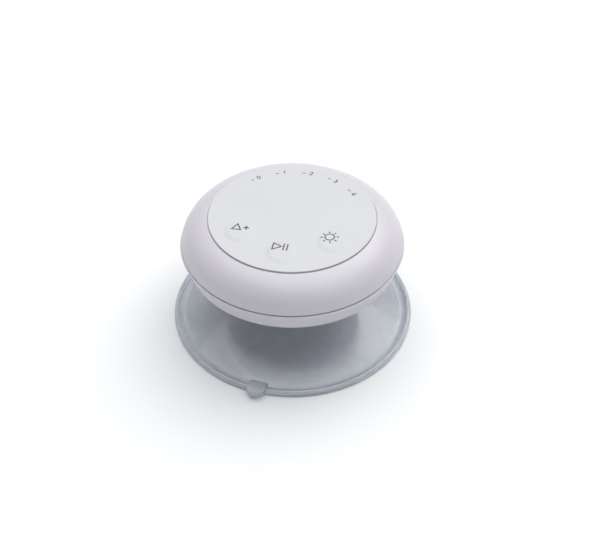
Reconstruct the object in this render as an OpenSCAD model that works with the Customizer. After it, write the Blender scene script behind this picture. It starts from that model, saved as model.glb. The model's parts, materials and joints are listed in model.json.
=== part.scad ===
// Waterproof puck speaker on a suction cup. A round two-piece housing carries a
// flat control panel with three press keys and a five-mark scale on top, and turns
// on a swivel hub that snaps onto the mushroom head of a soft cup.
// Origin: the centre of the cup's sealing plane. +Z runs up the puck's axis, and
// the keys sit on the -Y side of the panel. Millimetres throughout.

/* [Housing] */
// Widest diameter of the housing, at the seam between its two shells
puck_d = 80.2; // [76:0.1:100]
// Height of the lower band, from the underside to the seam
band_h = 7.3; // [7:0.1:10]
// Height of the rounded crown, from the seam to the panel's face
crown_h = 10.6; // [10:0.1:16]
// How far the lower band tapers in, on the radius
band_taper = 2.15; // [1:0.05:3]
// Wall thickness of both shells
wall = 1.8; // [1.4:0.1:2.2]
// Open line between the two shells
seam_gap = 0.35; // [0.2:0.05:0.5]
// How far the lower shell's lip stands out past the crown
crown_ledge = 0.25; // [0.1:0.05:0.4]
// How far inside the panel's edge the crown's curve is centred
crown_inset = 5.6; // [4:0.1:8]

/* [Panel] */
// Diameter of the soft panel sheet
panel_d = 59.2; // [56:0.1:62]
// Open line round the panel sheet
panel_gap = 0.25; // [0.2:0.05:0.5]
// Thickness of the panel sheet
panel_t = 0.8; // [0.6:0.05:1]
// How far the sheet's face stands above the crown's inner edge
panel_proud = 0.5; // [0.2:0.05:0.6]
// Thickness of the adhesive under the sheet
adhesive_t = 0.2; // [0.1:0.05:0.3]
// Thickness of the deck that carries the sheet
deck_t = 1.6; // [1.2:0.1:2]

/* [Keys] */
// Diameter of a key cap
key_d = 11; // [9:0.1:12]
// Open line round a key cap
key_gap = 0.3; // [0.2:0.05:0.4]
// Distance from the panel's edge to a key's centre
key_inset = 9.3; // [8.5:0.1:10]
// Angle between neighbouring keys
key_spread = 53; // [50:1:60]
// Height of a cap's crown above the panel's face
key_crown = 0.4; // [0.2:0.05:0.6]
// Travel of a key
key_travel = 0.35; // [0.25:0.05:0.4]

/* [Scale] */
// Number of marks on the level scale
scale_count = 5; // [3:1:5]
// Angle between neighbouring marks
scale_step = 22.9; // [18:0.1:24]
// Distance from the panel's edge to the marks
scale_inset = 4.7; // [4:0.1:6]
// Diameter of a light pipe
pipe_d = 2.2; // [1.6:0.1:2.4]

/* [Suction cup] */
// Diameter of the cup
cup_d = 90; // [75:1:110]
// Height of the bead round the cup's edge
rim_h = 2.2; // [1.8:0.1:2.6]
// Width of the bead round the cup's edge
rim_w = 2.2; // [1.8:0.1:3]
// Height of the dome's outer face where it meets the neck
dome_h = 12.5; // [11:0.1:15]
// How far the dome's outer face bows out between its edge and the neck
dome_bow = 0.5; // [0.2:0.1:1.5]
// Height of the dome's inner face at its centre
dome_inner_h = 9.5; // [8:0.1:10]
// Diameter of the neck
neck_d = 13; // [11:0.1:14]
// Length of bare neck between the dome and the hub
neck_h = 4; // [3:0.1:6]
// Diameter of the mushroom head
head_d = 16; // [15:0.1:16.4]
// Height of the mushroom head
head_h = 3; // [2:0.1:3.5]
// Direction of the pull tab, from the front of the panel
tab_turn = -6.5; // [-40:0.5:40]
// Width of the pull tab
tab_w = 6.4; // [5:0.1:10]
// How far the pull tab reaches past the cup's edge
tab_reach = 3.6; // [2:0.1:8]
// Upward tilt of the pull tab
tab_tilt = 16; // [10:1:25]

/* [Swivel] */
// Diameter of the hub's skirt
hub_d = 22; // [21:0.1:24]
// Height of the hub's skirt
hub_h = 9.8; // [9.5:0.1:12]
// Diameter of the hub's spindle
spindle_d = 12; // [10:0.1:13]
// Running clearance of the spindle, on the radius
spindle_gap = 0.08; // [0.05:0.01:0.1]
// Diameter of the washer that keeps the spindle in
washer_d = 17; // [15:0.1:18]

/* [Speaker driver] */
// Diameter of the driver
driver_d = 24; // [20:0.5:24]
// Depth of the driver
driver_h = 4.4; // [4:0.1:4.6]
// Diameter of a sound hole
sound_hole_d = 2.2; // [1.6:0.1:2.6]
// Spacing of the sound holes
sound_pitch = 3.6; // [3.2:0.1:3.8]

/* [Electronics] */
// Thickness of the main board
board_t = 1.2; // [0.8:0.1:1.6]
// Height of a key switch's case
switch_h = 2.5; // [2:0.1:3]
// Side of a key switch's case
switch_w = 6; // [5:0.1:6.2]
// Width of the battery cell
cell_w = 20; // [15:0.5:20]
// Length of the battery cell
cell_l = 30; // [24:0.5:31]
// Thickness of the battery cell
cell_t = 4.2; // [3:0.1:4.2]

/* [Charging port] */
// Width of the charging socket
port_w = 8.9; // [8:0.1:9]
// Height of the charging socket
port_h = 3.2; // [2.6:0.1:3.2]
// Width of the rubber flap over the socket
flap_w = 11.4; // [11:0.1:13]
// Height of the rubber flap
flap_h = 4.4; // [4.2:0.1:4.4]

/* [Hidden] */

$fn = 96;

// Arc steps on a lathe outline, and facets on a small part
arc_steps = 14;
small_fn = 32;
// Clearances between pieces of one body, and between pieces that move apart
seat_gap = 0.05;
free_gap = 0.3;

// Colours
shell_white = [0.93, 0.92, 0.93];
panel_white = [0.90, 0.90, 0.91];
ink_grey = [0.30, 0.30, 0.33];
cup_clear = [0.72, 0.78, 0.80, 0.55];
rubber_grey = [0.55, 0.56, 0.58];
metal = [0.78, 0.78, 0.80];
board_green = [0.10, 0.38, 0.22];
chip_black = [0.10, 0.10, 0.11];
copper = [0.80, 0.48, 0.26];

// Radii
puck_r = puck_d / 2;
panel_r = panel_d / 2;
recess_r = panel_r + panel_gap;
low_r = puck_r - band_taper;
inner_r = low_r - wall;
cup_r = cup_d / 2;
neck_r = neck_d / 2;
head_r = head_d / 2;
hub_r = hub_d / 2;
hub_lip_h = 2.2;
head_bore_r = 1.6;
spindle_r = spindle_d / 2;
key_r = key_d / 2;

// Heights, from the sealing plane up
hub_z = dome_h + neck_h;
hub_top = hub_z + hub_h;
thrust_z = hub_top + free_gap;
boss_drop = 0.8;
base_z = thrust_z + boss_drop;
floor_z = base_z + wall;
seam_z = base_z + band_h;
panel_z = seam_z + crown_h;
crown_z = panel_z - panel_proud;
deck_top = panel_z - panel_t - adhesive_t;
deck_low = deck_top - deck_t;

// Crown: an ellipse about (crown_c, crown_base)
crown_c = panel_r - crown_inset;
crown_base = seam_z - 1;
crown_a = puck_r - crown_ledge - crown_c;
crown_b = (crown_z - crown_base) / sqrt(1 - pow((recess_r - crown_c) / crown_a, 2));
inner_a = crown_a - wall;
inner_b = crown_b - wall;

// Joint between the shells
lip_z = seam_z - seam_gap;
tongue_t = 1.4;
tongue_r = inner_r + tongue_t;
tongue_h = 1.95;
gasket_t = 0.6;
step_z = lip_z + tongue_h + gasket_t;
lip_chamfer = 0.35;
edge_round = 0.45;

// Boss round the hub's spindle
boss_r = hub_r + 1;
boss_top = floor_z + 1.5;
bore_r = spindle_r + spindle_gap;
inner_boss_r = bore_r + 3;
washer_t = 0.8;
hub_screw_r = 1.45;

// Keys, from the panel's face down to the board
key_ring_r = panel_r - key_inset;
key_angles = [270 - key_spread, 270, 270 + key_spread];
flange_t = 0.8;
flange_r = key_r + 1.1;
flange_top = deck_low - free_gap;
flange_low = flange_top - flange_t;
stem_r = 1.7;
stem_h = 0.8;
plunger_h = 0.9;
plunger_sink = 1.1;
board_top = flange_low - stem_h - plunger_h - switch_h;
board_low = board_top - board_t;

// Scale
scale_r = panel_r - scale_inset;
scale_angles = [for (i = [0:scale_count - 1]) 90 + scale_step * ((scale_count - 1) / 2 - i)];
mark_w = 0.32;
mark_l = 1.3;
mark_t = 0.1;
led_h = 0.7;

// Fasteners
column_r = 3.2;
case_screw_ring = inner_r - 2.9;
case_screw_angles = [45, 135, 225, 315];
case_shank_r = 1.1;
case_head_r = 2;
case_head_h = 1.8;
counterbore_r = case_head_r + 0.4;
head_seat_z = base_z + 3.3;
column_top = board_low - 0.2;
top_boss_r = 2.7;
board_r = case_screw_ring - column_r - 1.2;
board_boss_ring = board_r - 4.65;
board_boss_angles = [0, 180, 245, 295];
board_boss_r = 2.6;
board_shank_r = 0.9;
board_head_r = 1.9;
board_head_h = 1.4;

// Driver, battery and port
driver_r = driver_d / 2;
driver_x = -(inner_boss_r + 0.4 + driver_r);
grille_r = min(sound_pitch * 2 + sound_hole_d / 2 + 1, driver_r - 1);
driver_z = floor_z + gasket_t;
driver_top = driver_z + driver_h;
cell_x = inner_r - cell_w / 2 - 4.6;
pad_t = 0.6;
cell_z = floor_z + pad_t;
port_y = low_r - 0.75;
port_low = floor_z + 0.2;
port_mid = port_low + port_h / 2;
port_l = 7;
port_board_z = port_low + port_h;
port_board_w = 18;
port_board_l = 9;
port_board_t = 0.8;
port_board_y = port_y - 2.7 - port_board_l;
flap_mid = port_mid;
flap_round = 1.2;
vent_y = -(inner_r - 11.5);

// A point at radius r and angle a
function polar(r, a) = [r * cos(a), r * sin(a)];

// Points on an ellipse about (cx, cy), from angle a0 to a1
function arc(cx, cy, rx, ry, a0, a1, steps = arc_steps) =
    [for (i = [0:steps]) let (a = a0 + (a1 - a0) * i / steps) [cx + rx * cos(a), cy + ry * sin(a)]];

// Height of a shallow dome at radius r: it is high at the centre and edge_z at edge_r
function dome_z(r, high, edge_r, edge_z) =
    let (drop = high - edge_z, big = (edge_r * edge_r + drop * drop) / (2 * drop))
    high - big + sqrt(big * big - r * r);

// Height at radius r on a flank that climbs from (foot_r, foot_z) to (top_r, top_z) and bows out
function flank_z(r, foot_r, foot_z, top_r, top_z, bow) =
    let (up = (foot_r - r) / (foot_r - top_r))
    foot_z + (top_z - foot_z) * up + bow * 4 * up * (1 - up);

// Rings of points for a round wire along a path that never runs along "across"
function unit(v) = v / norm(v);
function wire_ring(path, i, r, sides, across) =
    let (ahead = unit(path[min(i + 1, len(path) - 1)] - path[max(i - 1, 0)]),
         side = unit(cross(ahead, across)),
         up = cross(side, ahead))
    [for (k = [0:sides - 1]) path[i] + r * (side * cos(360 * k / sides) + up * sin(360 * k / sides))];

module wire(path, d, across, sides = 8) {
    last = (len(path) - 1) * sides;
    points = [for (i = [0:len(path) - 1]) each wire_ring(path, i, d / 2, sides, across)];
    skin = [for (i = [0:len(path) - 2], k = [0:sides - 1])
        let (n = (k + 1) % sides)
        [i * sides + k, i * sides + n, (i + 1) * sides + n, (i + 1) * sides + k]];
    polyhedron(points, concat(skin,
        [[for (k = [sides - 1:-1:0]) k], [for (k = [0:sides - 1]) last + k]]));
}

// Two wires side by side, apart by a step that no stretch of the route runs along
module wire_pair(route, apart, across) {
    wire_d = 0.8;
    for (i = [0, 1]) wire([for (p = route) p + i * apart], wire_d, across);
}

// Solid between two radii and two heights
module ring(outer, inner, low, high, fn = $fn) {
    translate([0, 0, low]) difference() {
        cylinder(r = outer, h = high - low, $fn = fn);
        translate([0, 0, -1]) cylinder(r = inner, h = high - low + 2, $fn = fn);
    }
}

module disc(r, low, high, fn = small_fn) {
    translate([0, 0, low]) cylinder(r = r, h = high - low, $fn = fn);
}

// Flat outline with round corners, made of squares and circles
module round_rect(w, h, r) {
    square([w - 2 * r, h], center = true);
    square([w, h - 2 * r], center = true);
    for (x = [-1, 1], y = [-1, 1])
        translate([x * (w / 2 - r), y * (h / 2 - r)]) circle(r = r, $fn = small_fn);
}

// Box with round upright edges, centred on x and y
module round_box(w, l, h, r) {
    linear_extrude(h) round_rect(w, l, r);
}

// The same outline standing upright, pushed from y0 to y1
module port_shape(w, h, r, y0, y1) {
    translate([0, y1, flap_mid]) rotate([90, 0, 0]) linear_extrude(y1 - y0) round_rect(w, h, r);
}

module at_ring(r, angles) {
    for (a = angles) translate(concat(polar(r, a), 0)) children();
}

module screw_shape(head_r, head_h, shank_r, seat, tip) {
    down = tip < seat ? -1 : 1;
    disc(head_r, min(seat, seat - down * head_h), max(seat, seat - down * head_h));
    disc(shank_r, min(seat, tip), max(seat, tip));
}

// ---- Suction cup -----------------------------------------------------------

module suction_cup() {
    foot_r = cup_r - rim_w;
    foot_z = rim_h - 0.6;
    seal_w = 2.4;
    steps = 10;
    fillet = 3;
    fillet_r = neck_r + fillet;
    fillet_z = flank_z(fillet_r, foot_r, foot_z, neck_r, dome_h, dome_bow);
    foot_round = 0.4;
    top_round = rim_w * 0.6;
    head_z = hub_z + hub_lip_h + free_gap;
    color(cup_clear) difference() {
        union() {
            rotate_extrude() polygon(concat(
                [for (i = [0:steps]) let (r = (foot_r - seal_w) * i / steps)
                    [r, dome_z(r, dome_inner_h, foot_r - seal_w, 0)]],
                arc(cup_r - foot_round, foot_round, foot_round, foot_round, -90, 0, 4),
                arc(cup_r - top_round, rim_h - top_round, top_round, top_round, 0, 90, 8),
                [for (i = [0:steps]) let (r = foot_r + (fillet_r - foot_r) * i / steps)
                    [r, flank_z(r, foot_r, foot_z, neck_r, dome_h, dome_bow)]],
                arc(fillet_r, fillet_z + fillet, fillet, fillet, 260, 180, 6),
                [[neck_r, head_z]],
                arc(head_r - 0.6, head_z + 0.6, 0.6, 0.6, 270, 360, 3),
                arc(head_r - 1.2, head_z + head_h - 1.2, 1.2, 1.2, 0, 90, 4),
                [[0, head_z + head_h]]));
            pull_tab();
        }
        disc(head_bore_r, head_z - 1.5, head_z + head_h + 1);
    }
}

module pull_tab() {
    tab_t = 1.7;
    root = 1.5;
    inset = 2.4;
    reach = tab_reach + inset - tab_w / 2;
    rotate([0, 0, 270 + tab_turn]) translate([cup_r - inset, 0, 1.5]) rotate([0, -tab_tilt, 0])
        translate([0, 0, -tab_t / 2]) linear_extrude(tab_t) {
            translate([(reach - root) / 2, 0]) square([reach + root, tab_w], center = true);
            translate([reach, 0]) circle(d = tab_w, $fn = 48);
        }
}

// ---- Swivel hub ------------------------------------------------------------

module swivel_hub() {
    lip_r = neck_r + free_gap;
    cavity_r = head_r + free_gap;
    cavity_top = hub_z + hub_lip_h + head_h + 2 * free_gap;
    groove_z = thrust_z + 1.4;
    spindle_top = boss_top + 0.1;
    color(shell_white) difference() {
        rotate_extrude() polygon(concat(
            [[lip_r, hub_z], [hub_r - 1, hub_z]],
            arc(hub_r - 1, hub_z + 1, 1, 1, 270, 360, 4),
            arc(hub_r - 0.6, hub_top - 0.6, 0.6, 0.6, 0, 90, 3),
            [[spindle_r, hub_top], [spindle_r, groove_z], [spindle_r - 1, groove_z],
             [spindle_r - 1, groove_z + 1.4], [spindle_r, groove_z + 1.4],
             [spindle_r, spindle_top], [0, spindle_top], [0, cavity_top],
             [cavity_r, cavity_top], [cavity_r, hub_z + hub_lip_h], [lip_r, hub_z + hub_lip_h]]));
        disc(hub_screw_r + seat_gap, spindle_top - 6.6, spindle_top + 1);
    }
}

module hub_o_ring() {
    groove_z = thrust_z + 1.4;
    section = 0.5;
    color(chip_black) rotate_extrude()
        translate([bore_r - 0.03 - section, groove_z + 0.7]) circle(r = section, $fn = small_fn);
}

module hub_washer() {
    color(metal) ring(washer_d / 2, hub_screw_r + 0.2, boss_top + 0.1, boss_top + 0.1 + washer_t);
}

module hub_screw() {
    seat = boss_top + 0.1 + washer_t;
    head = [2.8, 1.8];
    shank_l = 6.5;
    color(metal) difference() {
        screw_shape(head[0], head[1], hub_screw_r, seat, seat - shank_l);
        for (a = [0, 90]) translate([0, 0, seat + head[1]]) rotate([0, 0, a])
            cube([head[0], 0.6, 1.6], center = true);
    }
}

// ---- Housing shells --------------------------------------------------------

module base_outline() {
    polygon(concat(
        [[bore_r, thrust_z], [boss_r - 0.3, thrust_z], [boss_r, thrust_z + 0.3], [boss_r, base_z]],
        arc(low_r - edge_round, base_z + edge_round, edge_round, edge_round, 270, 340, 4),
        [[puck_r, lip_z - lip_chamfer], [puck_r - lip_chamfer, lip_z],
         [tongue_r, lip_z], [tongue_r, lip_z + tongue_h], [inner_r, lip_z + tongue_h],
         [inner_r, floor_z], [inner_boss_r, floor_z], [inner_boss_r, boss_top], [bore_r, boss_top]]));
}

// The case screws' columns, which stay inside the crown's wall above the tongue
module screw_columns() {
    tongue_top = lip_z + tongue_h;
    intersection() {
        at_ring(case_screw_ring, case_screw_angles) disc(column_r, floor_z - 0.5, column_top);
        union() {
            disc(tongue_r, floor_z - 1, tongue_top);
            disc(inner_r - free_gap, tongue_top - 0.1, tongue_top + column_top);
        }
    }
}

module base_shell() {
    rib_w = 2;
    color(shell_white) difference() {
        union() {
            rotate_extrude() base_outline();
            screw_columns();
            for (x = [-1, 1])
                translate([x * (port_board_w / 2 - rib_w / 2) - rib_w / 2, port_board_y, floor_z - 0.5])
                    cube([rib_w, port_board_l, port_board_z - floor_z + 0.5]);
        }
        at_ring(case_screw_ring, case_screw_angles) {
            disc(counterbore_r, base_z - 1, head_seat_z);
            disc(case_shank_r + 0.2, base_z, column_top + 1);
        }
        sound_holes();
        port_shape(flap_w + 2 * free_gap, flap_h + 2 * free_gap, flap_round + free_gap, port_y, puck_r + 2);
        port_shape(port_w + 0.4, port_h + 0.4, 1.4, inner_r - 3, puck_r);
        translate([0, vent_y, 0]) disc(0.8, base_z - 1, floor_z + 1);
    }
}

module sound_holes() {
    translate([driver_x, 0, 0]) {
        disc(sound_hole_d / 2, base_z - 1, floor_z + 1);
        for (circle_no = [1, 2])
            at_ring(sound_pitch * circle_no, [for (i = [0:6 * circle_no - 1]) 60 / circle_no * i])
                disc(sound_hole_d / 2, base_z - 1, floor_z + 1);
    }
}

// Outside of the crown, filled in down to the seam
module crown_solid(top = crown_z) {
    seam_r = crown_c + crown_a * sqrt(1 - pow((seam_z + 0.3 - crown_base) / crown_b, 2));
    start = asin((crown_z - crown_base) / crown_b);
    finish = asin((seam_z + 0.3 - crown_base) / crown_b);
    rotate_extrude() polygon(concat(
        [[0, seam_z], [seam_r - 0.3, seam_z]],
        arc(crown_c, crown_base, crown_a, crown_b, finish, start, 20),
        [[recess_r, top], [0, top]]));
}

module crown_hollow() {
    wall_z = crown_base + inner_b * sqrt(1 - pow((inner_r - crown_c) / inner_a, 2));
    start = asin((wall_z - crown_base) / inner_b);
    finish = asin((deck_low - crown_base) / inner_b);
    skirt_r = tongue_r + free_gap;
    rotate_extrude() polygon(concat(
        [[0, seam_z - 1], [skirt_r, seam_z - 1], [skirt_r, step_z], [inner_r, step_z]],
        arc(crown_c, crown_base, inner_a, inner_b, start, finish),
        [[0, deck_low]]));
}

module top_shell() {
    color(shell_white) difference() {
        union() {
            difference() {
                crown_solid();
                crown_hollow();
            }
            intersection() {
                crown_solid();
                union() {
                    at_ring(case_screw_ring, case_screw_angles)
                        disc(top_boss_r, column_top + 0.1, deck_low);
                    at_ring(board_boss_ring, board_boss_angles)
                        disc(board_boss_r, board_top, deck_low + 0.5);
                }
            }
        }
        disc(recess_r, deck_top, crown_z + 1, $fn);
        at_ring(key_ring_r, key_angles) disc(key_r + key_gap, deck_low - 1, deck_top + 1, 64);
        at_ring(scale_r, scale_angles) disc(pipe_d / 2 + 0.1, deck_low - 1, deck_top + 1);
        at_ring(case_screw_ring, case_screw_angles)
            disc(case_shank_r + seat_gap, column_top, column_top + 4.6);
        at_ring(board_boss_ring, board_boss_angles)
            disc(board_shank_r + seat_gap, board_top - 1, board_top + 3.6);
    }
}

module housing_gasket() {
    color(rubber_grey) ring(tongue_r, inner_r + 0.1, lip_z + tongue_h, step_z);
}

module case_screws() {
    color(metal) at_ring(case_screw_ring, case_screw_angles)
        screw_shape(case_head_r, case_head_h, case_shank_r, head_seat_z, column_top + 4.4);
}

module screw_plugs() {
    color(rubber_grey) at_ring(case_screw_ring, case_screw_angles)
        disc(counterbore_r - seat_gap, base_z + 0.1, head_seat_z - case_head_h - 0.1);
}

// ---- Control panel ---------------------------------------------------------

module panel_openings(low, high) {
    at_ring(key_ring_r, key_angles) disc(key_r + key_gap, low - 1, high + 1, 64);
}

module panel_sheet() {
    low = deck_top + adhesive_t;
    edge = 0.2;
    color(panel_white) difference() {
        rotate_extrude() polygon(concat([[0, low], [panel_r, low]],
            arc(panel_r - edge, panel_z - edge, edge, edge, 0, 90, 3), [[0, panel_z]]));
        panel_openings(low, panel_z);
    }
}

module panel_adhesive() {
    color(rubber_grey) difference() {
        disc(panel_r - 0.5, deck_top, deck_top + adhesive_t, $fn);
        panel_openings(deck_top, deck_top + adhesive_t);
        at_ring(scale_r, scale_angles) disc(pipe_d / 2 + 0.1, deck_top - 1, panel_z);
    }
}

module scale_marks() {
    color(ink_grey) for (a = scale_angles)
        rotate([0, 0, a]) translate([scale_r - mark_w / 2, -mark_l / 2, panel_z])
            cube([mark_w, mark_l, mark_t]);
}

// One key: crowned cap, keeper flange and stem, all on the key's own axis
module key(angle) {
    spread = (key_r * key_r + key_crown * key_crown) / (2 * key_crown);
    half = asin(key_r / spread);
    color(panel_white) translate(concat(polar(key_ring_r, angle), 0)) rotate_extrude()
        polygon(concat(
            [[0, flange_low - stem_h], [stem_r, flange_low - stem_h], [stem_r, flange_low],
             [flange_r, flange_low], [flange_r, flange_top], [key_r, flange_top]],
            arc(0, panel_z + key_crown - spread, spread, spread, 90 - half, 90, 8)));
}

module key_up() { key(key_angles[0]); }
module key_play() { key(key_angles[1]); }
module key_light() { key(key_angles[2]); }

module plunger(angle) {
    top = board_top + switch_h + plunger_h;
    color(chip_black) translate(concat(polar(key_ring_r, angle), 0))
        disc(stem_r, top - plunger_h - plunger_sink, top);
}

module plunger_up() { plunger(key_angles[0]); }
module plunger_play() { plunger(key_angles[1]); }
module plunger_light() { plunger(key_angles[2]); }

module key_switches() {
    well = plunger_sink + key_travel + 0.2;
    color(metal) at_ring(key_ring_r, key_angles) difference() {
        translate([0, 0, board_top]) round_box(switch_w, switch_w, switch_h, 0.4);
        disc(stem_r + seat_gap, board_top + switch_h - well, board_top + switch_h + 1);
    }
}

// ---- Main board ------------------------------------------------------------

module main_board() {
    color(board_green) difference() {
        disc(board_r, board_low, board_top, $fn);
        at_ring(board_boss_ring, board_boss_angles)
            disc(board_shank_r + 0.2, board_low - 1, board_top + 1);
    }
}

module board_screws() {
    color(metal) at_ring(board_boss_ring, board_boss_angles)
        screw_shape(board_head_r, board_head_h, board_shank_r, board_low, board_top + 3.4);
}

// Clear pipes through the deck, tied together by one curved strip below it
module light_pipe() {
    strip_w = 1.6;
    reach = scale_step * (scale_count - 1) + 4;
    color([0.85, 0.9, 0.95, 0.6]) {
        at_ring(scale_r, scale_angles) disc(pipe_d / 2, board_top + led_h + 0.3, deck_top);
        rotate([0, 0, 90 - reach / 2]) rotate_extrude(angle = reach)
            translate([scale_r - strip_w / 2, deck_low - 0.8]) square([strip_w, 0.7]);
    }
}

// Small parts soldered on the board's top face
module on_board(x, y, w, l, h) {
    translate([x, y, board_top]) round_box(w, l, h, min(w, l) / 10);
}

module scale_leds() {
    color([0.95, 0.9, 0.6]) for (a = scale_angles) rotate([0, 0, a]) on_board(scale_r, 0, 1.2, 2, led_h);
}

module glow_leds() {
    color([0.95, 0.9, 0.6]) for (a = [30:60:330])
        rotate([0, 0, a]) on_board(board_r - 1.7, 0, 1.2, 2.5, led_h);
}

module main_chip() { color(chip_black) on_board(0, 4, 7, 7, 0.9); }
module amplifier_chip() { color(chip_black) on_board(-9, 6, 4, 4, 0.9); }
module crystal_can() { color(metal) on_board(0, 12, 3.2, 2.5, 0.8); }

module coil_inductor() {
    color(copper) translate([9, 6, 0]) difference() {
        disc(2.2, board_top, board_top + 1.8);
        disc(0.8, board_top + 1.2, board_top + 2);
    }
}

module capacitors() {
    color([0.7, 0.6, 0.45]) for (x = [-1, 0, 1], y = [-1, 1])
        on_board(x * 3.2, 4 + y * 5.2, 1.6, 0.8, 0.8);
}

// ---- Battery ---------------------------------------------------------------

plug_w = 6;
plug_l = 4;
plug_h = 3;
plug_at = [cell_x - cell_w / 2 - plug_w / 2 - 0.8, 14];

module battery_plug() {
    color([0.9, 0.88, 0.8]) translate([plug_at[0], plug_at[1], board_low - plug_h])
        round_box(plug_w, plug_l, plug_h, 0.3);
}

module battery_cell() {
    color(metal) translate([cell_x, 0, cell_z]) round_box(cell_w, cell_l, cell_t, 1.2);
}

module battery_pad() {
    color(rubber_grey) translate([cell_x, 0, floor_z]) round_box(cell_w - 4, cell_l - 6, pad_t, 1);
}

module cell_board() {
    color(board_green) translate([cell_x - 1.5, cell_l / 2 + 1.25, cell_z + 1.4])
        round_box(cell_w - 5, 2.5, 0.8, 0.3);
}

module battery_leads() {
    start = [cell_x - cell_w / 2 + 3, cell_l / 2 + 2.5, cell_z + 1.8];
    finish = [plug_at[0] - 0.8, plug_at[1] + plug_l / 2, board_low - plug_h / 2 - 0.4];
    middle = (start + finish) / 2;
    route = [start, start + [0, 1, 0], start + [-1, 2.2, 0.4], [middle[0], start[1] + 2.8, middle[2]],
        finish + [1, 2.6, -0.3], finish + [0, 1.2, 0], finish];
    color("firebrick") wire_pair(route, [0.6, 0, 0.9], [0, 0, 1]);
}

// ---- Charging port ---------------------------------------------------------

module port_socket() {
    skin = 0.3;
    color(metal) {
        difference() {
            port_shape(port_w, port_h, 1.2, port_y - seat_gap - port_l, port_y - seat_gap);
            port_shape(port_w - 2 * skin, port_h - 2 * skin, 0.9, port_y - 6, port_y + 1);
        }
        port_shape(port_w - 2.4, 0.7, 0.2, port_y - 6.5, port_y - 1.5);
    }
}

module port_board() {
    color(board_green) translate([-port_board_w / 2, port_board_y, port_board_z])
        cube([port_board_w, port_board_l, port_board_t]);
}

module port_ribbon() {
    strip_t = 0.2;
    low = port_board_z + port_board_t;
    color(copper) translate([-3, port_board_y + 2, 0]) {
        translate([0, 0, low]) cube([6, 3, strip_t]);
        translate([0, 0, low]) cube([6, strip_t, board_low - low]);
    }
}

// Rubber flap: its face follows the band, and its boss plugs the socket
module port_flap() {
    boss_l = 0.6;
    color(shell_white) union() {
        intersection() {
            rotate_extrude() polygon([[0, base_z], [low_r + band_taper * 0.05, base_z],
                [puck_r, lip_z - lip_chamfer], [0, lip_z - lip_chamfer]]);
            port_shape(flap_w, flap_h, flap_round, port_y + free_gap, puck_r + 2);
        }
        port_shape(port_w - 1.4, port_h - 1.4, 0.7, port_y + free_gap - boss_l, port_y + free_gap + 0.2);
    }
}

// ---- Speaker driver --------------------------------------------------------

module on_driver() {
    translate([driver_x, 0, 0]) children();
}

yoke_r = driver_r * 0.54;
pole_r = driver_r * 0.3;

module grille_mesh() {
    color([0.2, 0.2, 0.22]) on_driver() disc(grille_r, floor_z, floor_z + 0.2, 64);
}

module driver_gasket() {
    color(chip_black) on_driver() ring(driver_r, max(driver_r - 2, grille_r + 0.1), floor_z, driver_z, 64);
}

module driver_frame() {
    rim = driver_r - 2.4;
    color(metal) on_driver() rotate_extrude($fn = 64) polygon([
        [driver_r, driver_z], [driver_r, driver_z + 1.2], [driver_r - 1.2, driver_z + 1.6],
        [yoke_r + 0.5, driver_z + 3], [yoke_r, driver_z + 3], [yoke_r, driver_z + 2.4],
        [rim + 0.4, driver_z + 1.3], [rim, driver_z + 1.2], [rim, driver_z]]);
}

module driver_yoke() {
    color(metal) on_driver() rotate_extrude($fn = 64) polygon([
        [yoke_r, driver_z + 1.9], [yoke_r, driver_top], [0, driver_top],
        [0, driver_top - 0.7], [yoke_r - 0.8, driver_top - 0.7], [yoke_r - 0.8, driver_z + 1.9]]);
}

module driver_magnet() {
    color([0.25, 0.25, 0.27]) on_driver() disc(pole_r - 0.2, driver_z + 2.4, driver_top - 0.7);
}

module pole_plate() {
    color(metal) on_driver() disc(pole_r, driver_z + 1.8, driver_z + 2.4);
}

module voice_coil() {
    color(copper) on_driver() ring(pole_r + 0.7, pole_r + 0.3, driver_z + 1.3, driver_z + 3, 64);
}

module driver_cone() {
    skin = 0.25;
    roll = 1;
    edge = driver_r - 2.5;
    rest = driver_z + 0.3;
    face = concat(arc(edge - roll, rest, roll, 0.7, 0, 180, 8),
        [[pole_r + 0.7, rest + 1], [0, rest + 0.7]]);
    color([0.15, 0.15, 0.16]) on_driver() rotate_extrude($fn = 64)
        polygon(concat(face, [for (i = [len(face) - 1:-1:0]) face[i] - [0, skin]]));
}

module driver_leads() {
    start = concat([driver_x, 0] + polar(driver_r - 1.6, 55), driver_z + 1.8);
    finish = [-7, start[1] + 2.48, board_low];
    route = [start, start + [0, 0, 0.6], start + [0.6, 0.3, 1.4], start + [2, 0.8, 1.8],
        finish + [-2.4, 0, -2.2], finish + [-0.6, 0, -1.7], finish + [0, 0, -0.9], finish];
    color("dimgray") wire_pair(route, [0.4, 1.15, 0], [0, 1, 0]);
}

module vent_membrane() {
    color("white") translate([0, vent_y, 0]) disc(3, floor_z, floor_z + 0.3);
}

suction_cup();
swivel_hub();
hub_o_ring();
hub_washer();
hub_screw();
base_shell();
top_shell();
housing_gasket();
case_screws();
screw_plugs();
panel_sheet();
panel_adhesive();
scale_marks();
key_up();
key_play();
key_light();
plunger_up();
plunger_play();
plunger_light();
key_switches();
main_board();
board_screws();
light_pipe();
scale_leds();
glow_leds();
main_chip();
amplifier_chip();
coil_inductor();
capacitors();
crystal_can();
battery_plug();
battery_cell();
battery_pad();
cell_board();
battery_leads();
port_socket();
port_board();
port_ribbon();
port_flap();
driver_frame();
driver_yoke();
driver_magnet();
pole_plate();
voice_coil();
driver_cone();
driver_gasket();
driver_leads();
grille_mesh();
vent_membrane();
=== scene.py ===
"""Looks of a waterproof speaker puck that turns on a clear suction cup.

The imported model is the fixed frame. Turned pieces are lathed from half outlines in
millimetres and stored in metres, in the frame's own place. The cup stands on z = 0,
+Z runs up the puck's axis, and the keys are on the -Y side of the panel.
"""

import json
import logging
import math
from dataclasses import dataclass, field
from enum import Enum
from typing import Callable, Iterable, Sequence, Union

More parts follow.
